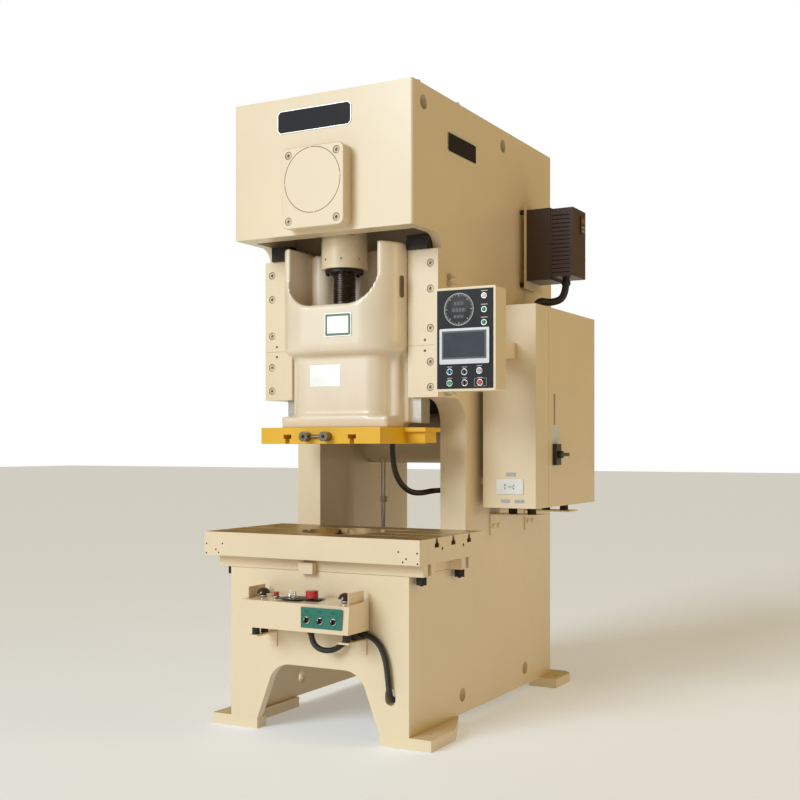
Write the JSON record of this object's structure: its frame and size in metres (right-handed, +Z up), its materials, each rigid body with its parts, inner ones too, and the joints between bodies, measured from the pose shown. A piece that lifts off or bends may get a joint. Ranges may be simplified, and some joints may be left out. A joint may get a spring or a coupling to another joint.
{
  "type": "mechanical stamping press",
  "caption": "Floor-standing open-front mechanical stamping press with a C-shaped welded frame, crank-driven slide, slotted bolster, two-hand console and side cabinet.",
  "frame": {"origin": "on the floor under the axis of the slide and its shank bore", "axes": "+Z up, -Y to the operator at the front, +X to the side of the control cabinet (the operator's right)"},
  "size_m": [1.56, 2.185, 3.252],
  "materials": {
    "cream_paint": "glossy enamel",
    "black_steel": "black oxide, satin",
    "yellow_paint": "glossy enamel",
    "machined_steel": "machined",
    "grey_cast": "painted cast iron",
    "black_rubber": "matt",
    "dark_plastic": "satin",
    "white_plastic": "gloss",
    "panel_black": "gloss film",
    "red_plastic": "gloss",
    "green_plastic": "gloss",
    "grey_plastic": "gloss",
    "blue_plastic": "gloss",
    "bright_chrome": "polished"
  },
  "bodies": {
    "frame": {"side_frame_left": "cream_paint", "side_frame_right": "cream_paint", "head_front_plate": "cream_paint", "top_plate": "cream_paint", "bearing_walls": "cream_paint", "bed_plate": "cream_paint", "apron": "cream_paint", "crank_cover": "cream_paint", "gibs_left": "cream_paint", "gibs_right": "cream_paint", "bolster": "cream_paint", "panel_box": "cream_paint", "cabinet_shell": "cream_paint", "cabinet_mounts": "cream_paint", "console_box": "cream_paint", "console_mounts": "cream_paint", "drive_bracket": "cream_paint", "rear_guard": "cream_paint", "air_receiver": "cream_paint", "feet": "cream_paint", "bolts_and_screws": "black_steel", "stop_blocks": "black_steel", "top_fittings": "black_steel", "riser_conduit": "machined_steel", "main_motor": "grey_cast", "v_belts": "black_rubber", "console_conduit": "black_rubber", "drive_conduit": "black_rubber", "slide_hose": "black_rubber", "drive_unit": "dark_plastic", "socket_outlet": "white_plastic", "panel_face": "panel_black"},
    "crank_body": {"crankshaft": "machined_steel", "main_gear": "machined_steel"},
    "rod_body": {"connecting_rod": "grey_cast", "lock_ring": "black_steel", "adjusting_screw": "machined_steel"},
    "slide_body": {"slide": "cream_paint", "slide_plate": "yellow_paint", "slide_clamps": "machined_steel"},
    "palm_button_left_body": {"palm_button_left": "dark_plastic"},
    "palm_button_right_body": {"palm_button_right": "dark_plastic"},
    "emergency_stop_body": {"emergency_stop": "red_plastic"},
    "console_push_button_body": {"console_push_button": "red_plastic"},
    "console_toggle_body": {"console_toggle": "bright_chrome"},
    "console_selector_1_body": {"console_selector_1": "dark_plastic"},
    "console_selector_2_body": {"console_selector_2": "dark_plastic"},
    "console_selector_3_body": {"console_selector_3": "dark_plastic"},
    "panel_grey_button_body": {"panel_grey_button": "grey_plastic"},
    "panel_green_button_body": {"panel_green_button": "green_plastic"},
    "panel_red_button_body": {"panel_red_button": "red_plastic"},
    "panel_blue_selector_body": {"panel_blue_selector": "blue_plastic"},
    "panel_small_selector_body": {"panel_small_selector": "dark_plastic"},
    "panel_key_selector_body": {"panel_key_selector": "dark_plastic"},
    "pinion_shaft_body": {"pinion_shaft": "machined_steel"},
    "flywheel_body": {"flywheel": "grey_cast"},
    "motor_pulley_body": {"motor_pulley": "grey_cast"},
    "cabinet_door_body": {"cabinet_door": "cream_paint"},
    "door_handle_body": {"door_handle": "machined_steel"},
    "disconnect_lever_body": {"disconnect_lever": "dark_plastic"}
  },
  "joints": [
    {"name": "crank_turn", "type": "hinge", "parent": "frame", "child": "crank_body", "pos_m": [0, 0, 2.762], "axis": [0, -1, 0], "range_deg": [0, 180]},
    {"name": "slide_travel", "type": "slide", "parent": "frame", "child": "slide_body", "axis": [0, 0, 1], "range_m": [0, 0.14]},
    {"name": "rod_pivot", "type": "hinge", "parent": "crank_body", "child": "rod_body", "pos_m": [0, 0, 2.692], "axis": [0, -1, 0], "range_deg": [-180, 0]},
    {"name": "pinion_spin", "type": "hinge", "parent": "frame", "child": "pinion_shaft_body", "pos_m": [0, 0.9, 2.342], "axis": [0, -1, 0], "range_deg": [-900, 0]},
    {"name": "flywheel_spin", "type": "hinge", "parent": "frame", "child": "flywheel_body", "pos_m": [0, 1.37, 2.342], "axis": [0, -1, 0], "continuous": true},
    {"name": "motor_spin", "type": "hinge", "parent": "frame", "child": "motor_pulley_body", "pos_m": [0, 1.415, 1.52], "axis": [0, -1, 0], "continuous": true},
    {"name": "door_swing", "type": "hinge", "parent": "frame", "child": "cabinet_door_body", "pos_m": [0.861, 1.406, 1.65], "axis": [0, 0, 1], "range_deg": [0, 110]},
    {"name": "handle_lift", "type": "hinge", "parent": "cabinet_door_body", "child": "door_handle_body", "pos_m": [0.862, 0.757, 1.725], "axis": [0, -1, 0], "range_deg": [0, 60]},
    {"name": "disconnect_turn", "type": "hinge", "parent": "cabinet_door_body", "child": "disconnect_lever_body", "pos_m": [0.895, 0.764, 1.399], "axis": [1, 0, 0], "range_deg": [0, 90]},
    {"name": "palm_press_left", "type": "slide", "parent": "frame", "child": "palm_button_left_body", "axis": [0, 0, -1], "range_m": [0, 0.007], "stiffness_N_per_m": 900, "springref_m": -0.003},
    {"name": "palm_press_right", "type": "slide", "parent": "frame", "child": "palm_button_right_body", "axis": [0, 0, -1], "range_m": [0, 0.007], "stiffness_N_per_m": 900, "springref_m": -0.003},
    {"name": "console_push_press", "type": "slide", "parent": "frame", "child": "console_push_button_body", "axis": [0, 0, -1], "range_m": [0, 0.005], "stiffness_N_per_m": 600, "springref_m": -0.003},
    {"name": "emergency_press", "type": "slide", "parent": "frame", "child": "emergency_stop_body", "axis": [0, 0, -1], "range_m": [0, 0.006]},
    {"name": "toggle_turn", "type": "hinge", "parent": "frame", "child": "console_toggle_body", "pos_m": [-0.051, -0.385, 0.72], "axis": [0, 0, 1], "range_deg": [0, 90]},
    {"name": "console_selector_turn_1", "type": "hinge", "parent": "frame", "child": "console_selector_1_body", "pos_m": [0.082, -0.485, 0.615], "axis": [0, -1, 0], "range_deg": [-45, 45]},
    {"name": "console_selector_turn_2", "type": "hinge", "parent": "frame", "child": "console_selector_2_body", "pos_m": [0.157, -0.485, 0.615], "axis": [0, -1, 0], "range_deg": [-45, 45]},
    {"name": "console_selector_turn_3", "type": "hinge", "parent": "frame", "child": "console_selector_3_body", "pos_m": [0.232, -0.485, 0.615], "axis": [0, -1, 0], "range_deg": [-45, 45]},
    {"name": "panel_grey_press", "type": "slide", "parent": "frame", "child": "panel_grey_button_body", "axis": [0, 1, 0], "range_m": [0, 0.004], "stiffness_N_per_m": 300, "springref_m": -0.002},
    {"name": "panel_green_press", "type": "slide", "parent": "frame", "child": "panel_green_button_body", "axis": [0, 1, 0], "range_m": [0, 0.004], "stiffness_N_per_m": 300, "springref_m": -0.002},
    {"name": "panel_red_press", "type": "slide", "parent": "frame", "child": "panel_red_button_body", "axis": [0, 1, 0], "range_m": [0, 0.004], "stiffness_N_per_m": 300, "springref_m": -0.002},
    {"name": "panel_blue_turn", "type": "hinge", "parent": "frame", "child": "panel_blue_selector_body", "pos_m": [0.682, -0.16, 1.799], "axis": [0, -1, 0], "range_deg": [-45, 45]},
    {"name": "panel_small_turn", "type": "hinge", "parent": "frame", "child": "panel_small_selector_body", "pos_m": [0.76, -0.16, 1.797], "axis": [0, -1, 0], "range_deg": [-45, 45]},
    {"name": "panel_key_turn", "type": "hinge", "parent": "frame", "child": "panel_key_selector_body", "pos_m": [0.762, -0.16, 1.745], "axis": [0, -1, 0], "range_deg": [0, 90]}
  ],
  "couplings": [
    {"joint": "slide_travel", "follows": "crank_turn", "m_per_rad": 0.044563},
    {"joint": "rod_pivot", "follows": "crank_turn", "ratio": -1},
    {"joint": "pinion_spin", "follows": "crank_turn", "ratio": -5},
    {"joint": "motor_spin", "follows": "flywheel_spin", "ratio": 5}
  ]
}
